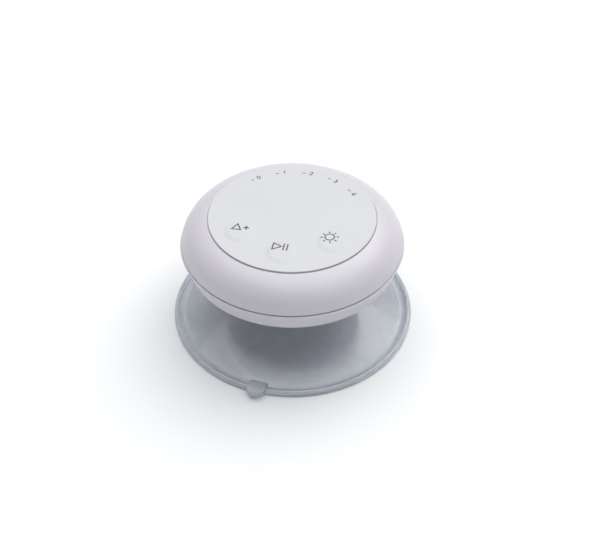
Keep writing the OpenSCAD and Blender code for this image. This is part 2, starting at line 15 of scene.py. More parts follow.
import bmesh
import bpy
from mathutils import Matrix, Vector

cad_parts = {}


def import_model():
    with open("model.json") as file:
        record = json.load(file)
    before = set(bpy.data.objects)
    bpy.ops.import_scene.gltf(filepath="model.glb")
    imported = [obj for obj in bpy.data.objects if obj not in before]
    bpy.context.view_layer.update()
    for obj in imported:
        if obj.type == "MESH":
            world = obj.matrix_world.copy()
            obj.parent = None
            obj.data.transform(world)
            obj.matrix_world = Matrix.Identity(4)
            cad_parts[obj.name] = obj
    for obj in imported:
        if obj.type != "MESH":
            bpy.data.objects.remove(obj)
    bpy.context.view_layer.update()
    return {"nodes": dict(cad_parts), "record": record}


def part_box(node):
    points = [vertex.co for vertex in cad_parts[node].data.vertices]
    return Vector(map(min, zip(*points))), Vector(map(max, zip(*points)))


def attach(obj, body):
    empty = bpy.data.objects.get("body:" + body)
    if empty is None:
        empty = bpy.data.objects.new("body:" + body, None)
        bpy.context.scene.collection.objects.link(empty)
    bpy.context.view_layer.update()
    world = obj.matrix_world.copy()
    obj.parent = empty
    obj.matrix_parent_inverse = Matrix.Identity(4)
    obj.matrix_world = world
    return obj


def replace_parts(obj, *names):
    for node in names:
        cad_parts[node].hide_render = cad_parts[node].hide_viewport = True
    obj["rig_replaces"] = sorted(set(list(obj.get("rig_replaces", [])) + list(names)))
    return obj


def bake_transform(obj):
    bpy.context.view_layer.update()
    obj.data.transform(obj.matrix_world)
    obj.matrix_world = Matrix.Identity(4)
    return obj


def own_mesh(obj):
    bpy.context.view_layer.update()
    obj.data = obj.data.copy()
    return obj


LOG = logging.getLogger("speaker_puck")

MM = 0.001

Point = tuple[float, float]
Colour = tuple[float, float, float]
Strip = list[tuple[Point, Point]]
Number = Union[int, float]


# ---- Choices ---------------------------------------------------------------


class Body(Enum):
    """The moving bodies of the frame."""

    CUP = "cup"
    HUB = "hub"
    HOUSING = "housing"
    UP_KEY = "up_key"
    PLAY_KEY = "play_key"
    LIGHT_KEY = "light_key"


class Cut(Enum):
    """What a cutter does to a piece."""

    REMOVE = "DIFFERENCE"
    ADD = "UNION"


class Weave(Enum):
    """Line patterns pressed or wound into a finish."""

    NONE = "none"
    ALONG_Z = "along_z"
    SQUARE = "square"
    RINGS = "rings"


# ---- Shader expressions ----------------------------------------------------


class Value:
    """A number that varies over a surface. Python operators add Math nodes to its graph."""

    def __init__(self, graph: "Graph", socket: bpy.types.NodeSocket) -> None:
        """Wraps one output.

        Args:
            graph: the material's graph.
            socket: the output that carries the number.
        """
        self.graph = graph
        self.socket = socket

    def _math(self, operation: str, *terms: Union["Value", Number]) -> "Value":
        """Adds one Math node.

        Args:
            operation: the Math node's operation.
            terms: its inputs in order.

        Returns:
            The node's result.
        """
        node = self.graph.node("ShaderNodeMath", {"operation": operation}, dict(enumerate(terms)))
        return Value(self.graph, node.outputs[0])

    def __add__(self, other: Union["Value", Number]) -> "Value":
        """Sum."""
        return self._math("ADD", self, other)

    def __radd__(self, other: Number) -> "Value":
        """Sum, with the number first."""
        return self._math("ADD", other, self)

    def __sub__(self, other: Union["Value", Number]) -> "Value":
        """Difference."""
        return self._math("SUBTRACT", self, other)

    def __rsub__(self, other: Number) -> "Value":
        """Difference, with the number first."""
        return self._math("SUBTRACT", other, self)

    def __mul__(self, other: Union["Value", Number]) -> "Value":
        """Product."""
        return self._math("MULTIPLY", self, other)

    def __rmul__(self, other: Number) -> "Value":
        """Product, with the number first."""
        return self._math("MULTIPLY", other, self)

    def __pow__(self, other: Number) -> "Value":
        """Power."""
        return self._math("POWER", self, other)

    def sine(self) -> "Value":
        """Sine, of an angle in radians."""
        return self._math("SINE", self)


class Graph:
    """One material's node graph, round one Principled shader."""

    def __init__(self, name: str) -> None:
        """Starts a material with a Principled shader and an output.

        Args:
            name: the material's name.
        """
        self.material = bpy.data.materials.new(name)
        self.material.use_nodes = True
        self.tree = self.material.node_tree
        self.tree.nodes.clear()
        self.shader = self.node("ShaderNodeBsdfPrincipled", {}, {})
        self.node("ShaderNodeOutputMaterial", {}, {"Surface": self.shader.outputs["BSDF"]})
        self.place = self.node("ShaderNodeTexCoord", {}, {}).outputs["Object"]

    def node(self, kind: str, settings: dict, sockets: dict) -> bpy.types.Node:
        """Adds any node.

        Args:
            kind: the node's type.
            settings: its properties.
            sockets: the value or link of each input, by name or number.

        Returns:
            The new node.
        """
        made = self.tree.nodes.new(kind)
        for key, setting in settings.items():
            setattr(made, key, setting)
        for key, given in sockets.items():
            self.feed(made.inputs[key], given)
        return made

    def feed(self, socket: bpy.types.NodeSocket, given: object) -> None:
        """Gives an input its link or its value.

        Args:
            socket: the input.
            given: a Value, an output, or a constant.
        """
        if isinstance(given, Value):
            self.tree.links.new(given.socket, socket)
        elif isinstance(given, bpy.types.NodeSocket):
            self.tree.links.new(given, socket)
        else:
            socket.default_value = given

    def noise(self, scale: float, detail: float = 2.0, stretch: Sequence[float] = (1, 1, 1)) -> Value:
        """Cloudy noise in the piece's own space.

        Args:
            scale: noise cells in a metre.
            detail: octaves.
            stretch: how much finer the noise is along x, y and z.

        Returns:
            A number about 0.5.
        """
        where = self.node("ShaderNodeMapping", {}, {"Vector": self.place, "Scale": tuple(stretch)})
        sockets = {"Vector": where.outputs["Vector"], "Scale": scale, "Detail": detail}
        return Value(self, self.node("ShaderNodeTexNoise", {}, sockets).outputs[0])

    def axes(self) -> tuple[Value, Value, Value]:
        """The x, y and z of a point in the piece's own space, in metres."""
        parts = self.node("ShaderNodeSeparateXYZ", {}, {"Vector": self.place})
        return tuple(Value(self, parts.outputs[i]) for i in range(3))

    def ramp(self, value: Value, low: float, high: float) -> Value:
        """Eases a number from 0 at low to 1 at high."""
        settings = {"interpolation_type": "SMOOTHSTEP"}
        sockets = {"Value": value, "From Min": low, "From Max": high}
        return Value(self, self.node("ShaderNodeMapRange", settings, sockets).outputs["Result"])

    def tint(self, factor: Value, first: Colour, second: Colour) -> bpy.types.NodeSocket:
        """Mixes two colours.

        Args:
            factor: 0 for the first colour, 1 for the second.
            first: linear colour.
            second: linear colour.

        Returns:
            The colour output.
        """
        sockets = {0: factor, 6: (*first, 1.0), 7: (*second, 1.0)}
        return self.node("ShaderNodeMix", {"data_type": "RGBA"}, sockets).outputs[2]

    def relief(self, height: Value, depth: float) -> None:
        """Presses a height into the surface.

        Args:
            height: 0 to 1.
            depth: real depth of the relief in metres.
        """
        bump = self.node("ShaderNodeBump", {}, {"Height": height, "Distance": depth, "Strength": 1.0})
        self.feed(self.shader.inputs["Normal"], bump.outputs["Normal"])

    def finish(self, **sockets: object) -> bpy.types.Material:
        """Feeds the shader's sockets and returns the material.

        Args:
            sockets: socket names with underscores for spaces.

        Returns:
            The material.
        """
        for key, given in sockets.items():
            self.feed(self.shader.inputs[key.replace("_", " ")], given)
        return self.material


def shade(colour: Colour, factor: float) -> Colour:
    """A colour made lighter or darker by a factor."""
    return tuple(min(1.0, part * factor) for part in colour)


# ---- Finishes --------------------------------------------------------------


@dataclass(frozen=True)
class Moulded:
    """Plastic or rubber out of a spark-eroded mould, with faint clouding and a fine grain."""

    name: str
    colour: Colour
    roughness: float = 0.4
    clouding: float = 0.03
    grain: float = 0.000006
    grain_cells: float = 2600.0
    specular: float = 0.5
    subsurface: float = 0.0
    weave: Weave = Weave.NONE
    pitch: float = 0.0004

    def build(self) -> bpy.types.Material:
        """Makes the material."""
        graph = Graph(self.name)
        cloud = graph.ramp(graph.noise(60.0, 3.0), 0.3, 0.7)
        fine = graph.noise(self.grain_cells, 2.0)
        colour = graph.tint(cloud, shade(self.colour, 1 - self.clouding), self.colour)
        height = fine
        depth = self.grain
        if self.weave is not Weave.NONE:
            height = woven(graph, self.weave, self.pitch) + fine * 0.1
            depth = self.pitch * 0.25
        graph.relief(height, depth)
        return graph.finish(
            Base_Color=colour,
            Roughness=self.roughness - 0.04 + cloud * 0.04 + fine * 0.05,
            Specular_IOR_Level=self.specular,
            Subsurface_Weight=self.subsurface,
            Subsurface_Scale=0.002,
        )


@dataclass(frozen=True)
class Metal:
    """Plated or bare metal with drawn scratches, and a weave or winding where it has one."""

    name: str
    colour: Colour
    roughness: float = 0.3
    drawn: Sequence[float] = (1.0, 1.0, 12.0)
    crease: float = 0.000004
    weave: Weave = Weave.NONE
    pitch: float = 0.0003

    def build(self) -> bpy.types.Material:
        """Makes the material."""
        graph = Graph(self.name)
        scratch = graph.noise(900.0, 3.0, self.drawn)
        stain = graph.ramp(graph.noise(120.0, 2.0), 0.35, 0.75)
        height = scratch
        depth = self.crease
        if self.weave is not Weave.NONE:
            height = woven(graph, self.weave, self.pitch) + scratch * 0.1
            depth = self.pitch * 0.3
        graph.relief(height, depth)
        return graph.finish(
            Base_Color=graph.tint(stain, shade(self.colour, 0.86), self.colour),
            Metallic=1.0,
            Roughness=self.roughness + scratch * 0.16 - 0.08,
        )


@dataclass(frozen=True)
class Clear:
    """Clear or cloudy plastic that light goes through."""

    name: str
    colour: Colour
    roughness: float = 0.1
    transmission: float = 1.0
    ripple: float = 0.00003
    ior: float = 1.5

    def build(self) -> bpy.types.Material:
        """Makes the material."""
        graph = Graph(self.name)
        flow = graph.noise(90.0, 2.0)
        haze = graph.ramp(graph.noise(260.0, 3.0), 0.35, 0.75)
        graph.relief(flow, self.ripple)
        return graph.finish(
            Base_Color=graph.tint(haze, shade(self.colour, 0.95), self.colour),
            Roughness=self.roughness + haze * 0.05,
            Transmission_Weight=self.transmission,
            IOR=self.ior,
        )


@dataclass(frozen=True)
class Board:
    """Solder mask with copper tracks that show through it."""

    name: str
    mask: Colour = (0.02, 0.16, 0.07)
    track: Colour = (0.05, 0.30, 0.13)

    def build(self) -> bpy.types.Material:
        """Makes the material."""
        graph = Graph(self.name)
        sockets = {"Vector": graph.place, "Scale": 320.0, "Mortar Size": 0.035}
        tracks = graph.node("ShaderNodeTexBrick", {}, sockets).outputs["Fac"]
        lines = Value(graph, tracks)
        graph.relief(lines, 0.00003)
        return graph.finish(
            Base_Color=graph.tint(lines, self.mask, self.track),
            Roughness=0.3 + graph.noise(500.0) * 0.1,
        )


@dataclass(frozen=True)
class Ink:
    """Screen-printed ink, a little thin in places."""

    name: str
    colour: Colour = (0.105, 0.105, 0.12)
    thin: Colour = (0.17, 0.17, 0.185)

    def build(self) -> bpy.types.Material:
        """Makes the material."""
        graph = Graph(self.name)
        worn = graph.ramp(graph.noise(2200.0, 3.0), 0.35, 0.8)
        graph.relief(graph.noise(5000.0), 0.000004)
        return graph.finish(
            Base_Color=graph.tint(worn, self.colour, self.thin), Roughness=0.45 + worn * 0.15
        )


def woven(graph: Graph, weave: Weave, pitch: float) -> Value:
    """Lines of a mesh, a winding or pressed rings.

    Args:
        graph: the material's graph.
        weave: which lines.
        pitch: distance from line to line in metres.

    Returns:
        A height from 0 to 1.
    """
    turn = 2 * math.pi / pitch
    x, y, z = graph.axes()
    if weave is Weave.ALONG_Z:
        return (z * turn).sine() * 0.5 + 0.5
    if weave is Weave.RINGS:
        return ((x * x + y * y) ** 0.5 * turn).sine() * 0.5 + 0.5
    return (x * turn).sine() * (y * turn).sine() * 0.5 + 0.5


# ---- Mesh helpers ----------------------------------------------------------


class Outline:
    """Half the outline of a turned piece: radius and height in millimetres, in order."""

    def __init__(self) -> None:
        """Starts with no points."""
        self.points: list[Point] = []

    def to(self, *points: Point) -> "Outline":
        """Goes on in straight lines.

        Args:
            points: the next corners.

        Returns:
            The outline.
        """
        self.points.extend(points)
        return self

    def arc(
        self, centre: Point, radii: Point, start: float, end: float, steps: int = 8
    ) -> "Outline":
        """Goes on round part of an ellipse.

        Args:
            centre: the ellipse's centre.
            radii: its half widths.
            start: first angle in degrees.
            end: last angle in degrees.
            steps: how many lines stand for the curve.

        Returns:
            The outline.
        """
        for i in range(steps + 1):
            a = math.radians(start + (end - start) * i / steps)
            self.points.append((centre[0] + radii[0] * math.cos(a), centre[1] + radii[1] * math.sin(a)))
        return self

    def curve(self, rule: Callable[[float], float], start: float, end: float, steps: int) -> "Outline":
        """Goes on along a curve given as height by radius.

        Args:
            rule: the height at a radius.
            start: first radius.
            end: last radius.
            steps: how many lines stand for the curve.

        Returns:
            The outline.
        """
        for i in range(steps + 1):
            r = start + (end - start) * i / steps
            self.points.append((r, rule(r)))
        return self


def new_piece(name: str, mesh: bpy.types.Mesh) -> bpy.types.Object:
    """Puts a mesh into the scene as an object of that name."""
    piece = bpy.data.objects.new(name, mesh)
    bpy.context.scene.collection.objects.link(piece)
    return piece


def smooth(piece: bpy.types.Object, crease_deg: float = 32.0) -> bpy.types.Object:
    """Shades a piece smoothly, with sharp edges kept and flats left flat.

    Args:
        piece: the piece.
        crease_deg: edges sharper than this stay sharp.

    Returns:
        The piece.
    """
    piece.data.shade_smooth()
    piece.data.set_sharp_from_angle(angle=math.radians(crease_deg))
    even = piece.modifiers.new("even_normals", "WEIGHTED_NORMAL")
    even.keep_sharp = True
    return piece


def finished(build: bmesh.types.BMesh, name: str) -> bpy.types.Mesh:
    """Turns a bmesh's faces outwards and makes it a mesh of that name."""
    bmesh.ops.recalc_face_normals(build, faces=build.faces)
    mesh = bpy.data.meshes.new(name)
    build.to_mesh(mesh)
    build.free()
    return mesh


def lofted(loops: list[list[Vector]], name: str) -> bpy.types.Mesh:
    """Joins closed loops of equal counts into a solid with flat ends.

    Args:
        loops: points in metres, one loop for each station.
        name: the mesh's name.

    Returns:
        A closed mesh.
    """
    build = bmesh.new()
    rings = [[build.verts.new(point) for point in loop] for loop in loops]
    for first, second in zip(rings, rings[1:]):
        for k in range(len(first)):
            n = (k + 1) % len(first)
            build.faces.new((first[k], first[n], second[n], second[k]))
    build.faces.new(list(reversed(rings[0])))
    build.faces.new(rings[-1])
    return finished(build, name)


def turned_mesh(outline: Outline, centre: Point = (0.0, 0.0), steps: int = 192) -> bpy.types.Mesh:
    """Turns an outline round an upright axis.

    Args:
        outline: a closed half outline.
        centre: where the axis stands, in millimetres.
        steps: flats round the axis.

    Returns:
        A closed mesh.
    """
    build = bmesh.new()
    rings: list[list[bmesh.types.BMVert]] = []
    for r, z in outline.points:
        count = 1 if r < 1e-6 else steps
        ring = []
        for k in range(count):
            a = 2 * math.pi * k / steps
            at = Vector((centre[0] + r * math.cos(a), centre[1] + r * math.sin(a), z))
            ring.append(build.verts.new(at * MM))
        rings.append(ring)
    for i, first in enumerate(rings):
        second = rings[(i + 1) % len(rings)]
        if len(first) == 1 and len(second) == 1:
            continue
        for k in range(steps):
            n = (k + 1) % steps
            corners = [first[k % len(first)], first[n % len(first)]]
            corners += [second[n % len(second)], second[k % len(second)]]
            build.faces.new(list(dict.fromkeys(corners)))
    return finished(build, "turned")


def pin(radius: float, low: float, high: float, centre: Point, steps: int = 40) -> bpy.types.Mesh:
    """A plain round pin, used to cut a hole or add a post.

    Args:
        radius: in millimetres.
        low: height of its lower end.
        high: height of its upper end.
        centre: its axis.
        steps: flats round it.

    Returns:
        A closed mesh.
    """
    outline = Outline().to((0, low), (radius, low), (radius, high), (0, high))
    return turned_mesh(outline, centre, steps)


def rounded_corners(width: float, height: float, corner: float, steps: int) -> list[Point]:
    """Points round a rectangle with round corners, about its centre.

    Args:
        width: in millimetres.
        height: in millimetres.
        corner: corner radius.
        steps: lines in each corner.

    Returns:
        The points in order.
    """
    points = []
    for i, (sx, sy) in enumerate(((1, 1), (-1, 1), (-1, -1), (1, -1))):
        for k in range(steps + 1):
            a = math.radians(90 * i + 90 * k / steps)
            x = sx * (width / 2 - corner) + corner * math.cos(a)
            y = sy * (height / 2 - corner) + corner * math.sin(a)
            points.append((x, y))
    return points


def joined(meshes: Iterable[bpy.types.Mesh]) -> bpy.types.Mesh:
    """Puts several meshes into one."""
    build = bmesh.new()
    for mesh in meshes:
        build.from_mesh(mesh)
    whole = bpy.data.meshes.new("joined")
    build.to_mesh(whole)
    build.free()
    return whole


def shape(piece: bpy.types.Object, kind: Cut, cutters: Iterable[bpy.types.Mesh]) -> None:
    """Cuts meshes out of a piece, or adds them to it, and keeps the result as its mesh.

    Args:
        piece: the piece.
        kind: remove or add.
        cutters: closed meshes that don't overlap each other.
    """
    tool = new_piece("tool", joined(cutters))
    step = piece.modifiers.new("shape", "BOOLEAN")
    step.operation = kind.value
    step.solver = "EXACT"
    step.object = tool
    bpy.context.view_layer.update()
    solved = piece.evaluated_get(bpy.context.evaluated_depsgraph_get())
    piece.data = bpy.data.meshes.new_from_object(solved)
    piece.modifiers.clear()
    bpy.data.objects.remove(tool)


def dress(piece: bpy.types.Object, material: bpy.types.Material) -> None:
    """Gives a piece its finish.

    Args:
        piece: the piece.
        material: its material.
    """
    piece.data.materials.clear()
    piece.data.materials.append(material)


def ring_of(radius: float, angles: Iterable[float]) -> list[Point]:
    """Points at a radius and at angles in degrees."""
    return [(radius * math.cos(math.radians(a)), radius * math.sin(math.radians(a))) for a in angles]


def shallow_dome(high: float, edge_r: float, edge_z: float) -> Callable[[float], float]:
    """The height rule of a shallow dome.

    Args:
        high: height at its centre.
        edge_r: radius of its edge.
        edge_z: height of its edge.

    Returns:
        The height at a radius.
    """
    drop = high - edge_z
    big = (edge_r * edge_r + drop * drop) / (2 * drop)
    return lambda r: high - big + math.sqrt(big * big - r * r)


def flank(
    foot_r: float, foot_z: float, top_r: float, top_z: float, bow: float
) -> Callable[[float], float]:
    """The height rule of a cone's flank that bows out a little.

    Args:
        foot_r: radius of its foot.
        foot_z: height of its foot.
        top_r: radius of its top.
        top_z: height of its top.
        bow: how far its middle stands out over a straight line.

    Returns:
        The height at a radius.
    """

    def height(r: float) -> float:
        """Height at radius r."""
        up = (foot_r - r) / (foot_r - top_r)
        return foot_z + (top_z - foot_z) * up + bow * 4 * up * (1 - up)

    return height


def low_mm(node: str) -> Vector:
    """The lowest corner of a CAD node, in millimetres."""
    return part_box(node)[0] / MM


def high_mm(node: str) -> Vector:
    """The highest corner of a CAD node, in millimetres."""
    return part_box(node)[1] / MM


# ---- Sub-assemblies --------------------------------------------------------


@dataclass
class SuctionCup:
    """The soft cup: a dome with a beaded edge, a neck, a mushroom head and a pull tab."""

    finish: Clear
    edge_finish: Clear
    bead: float = 2.2
    bead_joint: float = 0.95
    crest_share: float = 0.6
    foot_round: float = 0.4
    seal_width: float = 2.4
    neck_r: float = 6.5
    head_r: float = 8.0
    head_h: float = 3.0
    dome_high: float = 12.5
    dome_inner: float = 9.5
    dome_bow: float = 0.5
    neck_fillet: float = 3.0
    tab_turn: float = 263.5
    tab_width: float = 6.4
    tab_thick: float = 1.7
    tab_tilt: float = 16.0
    tab_reach: float = 2.8
    tab_root: float = 1.5
    tab_inset: float = 2.4
    tab_round: float = 0.55
    tab_flat: float = 0.25
    still_z: float = 0.0
    moving_z: float = 15.0

    def build(self) -> list[bpy.types.Object]:
        """Builds and dresses the cup.

        Returns:
            The cup's skin, and its milky bead with the tab.
        """
        skin = new_piece("cup_skin", turned_mesh(self.skin_outline(), steps=224))
        bead = new_piece("cup_bead", turned_mesh(self.bead_outline(), steps=224))
        shape(bead, Cut.ADD, [self.tab()])
        for piece, finish in ((skin, self.finish), (bead, self.edge_finish)):
            smooth(piece, 50.0)
            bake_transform(piece)
            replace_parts(piece, "suction_cup")
            dress(piece, finish.build())
        return [skin, bead]

    def bead_outline(self) -> Outline:
        """The thick edge, from its joint with the skin outwards."""
        rim = high_mm("suction_cup").x
        joint = rim - self.bead + self.bead_joint
        crest = self.bead * self.crest_share
        outline = Outline().to((joint, 0.0), (rim - self.foot_round - 0.1, 0.0))
        outline.arc((rim - self.foot_round, self.foot_round), (self.foot_round,) * 2, -90, 0, 7)
        outline.arc((rim - crest, self.bead - crest), (crest, crest), 0, 92, 16)
        outline.to((joint, self.bead - 0.01))
        return outline

    def skin_outline(self) -> Outline:
        """The dome, neck and mushroom head."""
        top = high_mm("suction_cup").z
        rim = high_mm("suction_cup").x
        foot = rim - self.bead
        joint = foot + self.bead_joint - 0.02
        inner_edge = foot - self.seal_width
        head_z = top - self.head_h
        outer = flank(foot, self.bead - 0.6, self.neck_r, self.dome_high, self.dome_bow)
        inner = shallow_dome(self.dome_inner, inner_edge, 0.0)
        fillet_r = self.neck_r + self.neck_fillet
        crest = self.bead * self.crest_share
        outline = Outline().curve(inner, 0.0, inner_edge - 0.3, 40)
        outline.to((inner_edge, 0.0), (joint, 0.0))
        outline.arc((rim - crest, self.bead - crest), (crest, crest), 95, 126, 6)
        outline.arc((foot - 0.42, 2.12), (0.5, 0.5), 304, 258, 6)
        outline.curve(outer, foot - 0.9, fillet_r + 0.4, 44)
        fillet_z = outer(fillet_r) + self.neck_fillet
        outline.arc((fillet_r, fillet_z), (self.neck_fillet,) * 2, 262, 180, 10)
        outline.to((self.neck_r, head_z - 0.05), (self.neck_r + 0.05, head_z))
        outline.arc((self.head_r - 0.6, head_z + 0.6), (0.6, 0.6), 270, 360, 5)
        outline.arc((self.head_r - 1.2, top - 1.2), (1.2, 1.2), 0, 90, 8)
        outline.to((1.9, top), (1.6, top - 0.3), (1.6, head_z - 1.5), (0.0, head_z - 1.5))
        return outline

    def tab(self) -> bpy.types.Mesh:
        """The pull tab: a tongue with a round tip and soft edges.

        Returns:
            A closed mesh.
        """
        half = self.tab_width / 2
        layers = []
        for k in range(7):
            a = math.radians(-90 + 180 * k / 6)
            inset = self.tab_round * (1 - math.cos(a))
            swell = math.sin(a) * (self.tab_thick / 2 - self.tab_flat)
            layers.append((inset, swell + math.copysign(self.tab_flat, a or 1)))
        loops = []
        turn = Matrix.Rotation(math.radians(self.tab_turn), 4, "Z")
        tilt = Matrix.Rotation(math.radians(-self.tab_tilt), 4, "Y")
        shift = Matrix.Translation((high_mm("suction_cup").x - self.tab_inset, 0, self.tab_root))
        for inset, height in layers:
            r = half - inset
            angles = (math.radians(-90 + 180 * i / 20) for i in range(21))
            tip = [(self.tab_reach + r * math.cos(a), r * math.sin(a)) for a in angles]
            loop = [(-self.tab_root, -r), *tip, (-self.tab_root, r)]
            loops.append([turn @ shift @ tilt @ Vector((x, y, height)) * MM for x, y in loop])
        return lofted(loops, "tab")


@dataclass
class SwivelHub:
    """The hub that snaps over the cup's head and carries the housing on its spindle."""

    finish: Moulded
    neck_bore: float = 6.8
    head_bore: float = 8.3
    lip_h: float = 2.2
    cavity_h: float = 5.8
    spindle_r: float = 6.0
    groove: float = 1.0
    groove_w: float = 1.4
    shoulder_drop: float = 4.5
    screw_bore: float = 1.5
    screw_depth: float = 6.6

    def build(self) -> bpy.types.Object:
        """Builds the hub.

        Returns:
            The hub.
        """
        low, high = low_mm("swivel_hub").z, high_mm("swivel_hub")
        wide, top = high.x, high.z
        shoulder = top - self.shoulder_drop
        groove_z = shoulder + 1.7
        groove_top = groove_z + self.groove_w
        groove_r = self.spindle_r - self.groove
        outline = Outline().to((self.neck_bore, low + 0.2), (self.neck_bore + 0.2, low))
        outline.to((wide - 1.1, low))
        outline.arc((wide - 1, low + 1), (1, 1), 270, 360, 8)
        outline.arc((wide - 0.6, shoulder - 0.6), (0.6, 0.6), 0, 90, 8)
        outline.to((self.spindle_r, shoulder), (self.spindle_r, groove_z))
        outline.to((groove_r, groove_z), (groove_r, groove_top), (self.spindle_r, groove_top))
        outline.to((self.spindle_r, top - 0.2), (self.spindle_r - 0.2, top))
        bore_end = top - self.screw_depth
        outline.to((self.screw_bore, top), (self.screw_bore, bore_end), (0, bore_end))
        outline.to((0, low + self.cavity_h), (self.head_bore, low + self.cavity_h))
        outline.to((self.head_bore, low + self.lip_h), (self.neck_bore + 0.3, low + self.lip_h))
        outline.to((self.neck_bore, low + self.lip_h - 0.3))
        hub = new_piece("hub_skirt", turned_mesh(outline, steps=160))
        smooth(hub)
        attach(hub, Body.HUB.value)
        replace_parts(hub, "swivel_hub")
        dress(hub, self.finish.build())
        return hub


@dataclass
class Housing:
    """The two shells: a low tapered band with the sound holes and port, and a rounded crown."""

    finish: Moulded
    low_r: float = 37.95
    wall: float = 1.8
    boss_r: float = 12.0
    bore_r: float = 6.08
    boss_drop: float = 0.8
    inner_boss: float = 3.0
    boss_rise: float = 1.5
    seam_gap: float = 0.35
    tongue: float = 1.4
    tongue_h: float = 1.95
    step_rise: float = 2.55
    crown_c: float = 24.0
    ledge: float = 0.32
    lip_round: float = 0.14
    crown_drop: float = 1.0
    recess_r: float = 29.85
    deck_t: float = 1.6
    screw_angles: tuple[float, ...] = (45.0, 135.0, 225.0, 315.0)
    sound_x: float = -21.48
    sound_r: float = 1.1
    sound_pitch: float = 3.6
    flap_w: float = 11.4
    flap_h: float = 4.4
    flap_z: float = 31.0
    port_y: float = 37.2
    column_top: float = 36.0
    column_r: float = 3.2
    crown_boss_r: float = 2.7
    crown_boss_top: float = 41.4
    key_hole_r: float = 5.8
    well_r: float = 2.4
    screw_seat: float = 3.3
    shank_bore: float = 1.3
    hole_chamfer: float = 0.15
    flap_room: float = 0.6

    def __post_init__(self) -> None:
        """Reads the heights and radii that the frame gives."""
        self.base_z = low_mm("base_shell").z + self.boss_drop
        self.seam_z = low_mm("top_shell").z
        self.crown_z = high_mm("top_shell").z
        self.seam_r = high_mm("base_shell").x
        self.floor_z = self.base_z + self.wall
        self.lip_z = self.seam_z - self.seam_gap
        self.deck_top = low_mm("panel_adhesive").z
        self.inner_r = self.low_r - self.wall
        self.screw_ring = self.inner_r - 2.9

    def screw_places(self) -> list[Point]:
        """The axes of the four case screws."""
        return ring_of(self.screw_ring, self.screw_angles)

    def build_lower(self) -> bpy.types.Object:
        """Builds the lower shell.

        Returns:
            The shell.
        """
        thrust = self.base_z - self.boss_drop
        boss_top = self.floor_z + self.boss_rise
        outline = Outline().to((self.bore_r, thrust + 0.2), (self.bore_r + 0.2, thrust))
        outline.arc((self.boss_r - 0.3, thrust + 0.3), (0.3, 0.3), 270, 360, 5)
        outline.to((self.boss_r, self.base_z), (self.low_r - 0.55, self.base_z))
        outline.arc((self.low_r - 0.45, self.base_z + 0.45), (0.45, 0.45), 270, 342, 8)
        lip_at = (self.seam_r - self.lip_round, self.lip_z - self.lip_round)
        outline.arc(lip_at, (self.lip_round,) * 2, -18, 90, 8)
        tongue_r = self.inner_r + self.tongue
        outline.to((tongue_r, self.lip_z), (tongue_r, self.lip_z + self.tongue_h))
        outline.to((self.inner_r, self.lip_z + self.tongue_h), (self.inner_r, self.floor_z))
        boss_in = self.bore_r + self.inner_boss
        outline.to((boss_in, self.floor_z), (boss_in, boss_top), (self.bore_r, boss_top))
        shell = new_piece("lower_shell", turned_mesh(outline, steps=224))
        foot = self.floor_z - 0.5
        columns = [pin(self.column_r, foot, self.column_top, at) for at in self.screw_places()]
        shape(shell, Cut.ADD, columns)
        shape(shell, Cut.REMOVE, self.lower_cutters())
        return self.settle(shell, "base_shell")

    def lower_cutters(self) -> list[bpy.types.Mesh]:
        """Screw wells, sound holes, the vent hole and the port's opening.

        Returns:
            Closed meshes that don't overlap.
        """
        below, above = self.base_z - 1, self.floor_z + 1
        cutters = []
        for at in self.screw_places():
            seat, end = self.base_z + self.screw_seat, self.column_top + 1.6
            wide = self.well_r + self.hole_chamfer
            well = Outline().to((0, below), (wide, below), (wide, self.base_z))
            well.to((self.well_r, self.base_z + self.hole_chamfer), (self.well_r, seat))
            well.to((self.shank_bore, seat), (self.shank_bore, end), (0, end))
            cutters.append(turned_mesh(well, at, 48))
        spots = [(0.0, 0.0)]
        for circle in (1, 2):
            spots += ring_of(self.sound_pitch * circle, (60 / circle * i for i in range(6 * circle)))
        for x, y in spots:
            wide = self.sound_r + self.hole_chamfer
            hole = Outline().to((0, below), (wide, below), (wide, self.base_z))
            hole.to((self.sound_r, self.base_z + self.hole_chamfer), (self.sound_r, above), (0, above))
            cutters.append(turned_mesh(hole, (self.sound_x + x, y), 32))
        cutters.append(pin(0.8, below, above, (0, -(self.inner_r - 11.5)), 32))
        cutters.append(self.port_cutter(self.flap_w + self.flap_room, self.flap_h + self.flap_room))
        return cutters

    def port_cutter(self, wide: float, tall: float) -> bpy.types.Mesh:
        """The flap's recess with the socket's slot behind it, as one stepped bar.

        Args:
            wide: width of the recess.
            tall: height of the recess.

        Returns:
            A closed mesh.
        """
        steps = [(wide, tall, 1.5, self.seam_r + 2), (wide, tall, 1.5, self.port_y)]
        steps += [(9.3, 3.6, 1.4, self.port_y), (9.3, 3.6, 1.4, self.inner_r - 3)]
        loops = []
        for w, h, corner, y in steps:
            section = rounded_corners(w, h, corner, 6)
            loops.append([Vector((x, y, self.flap_z + z)) * MM for x, z in section])
        return lofted(loops, "port")

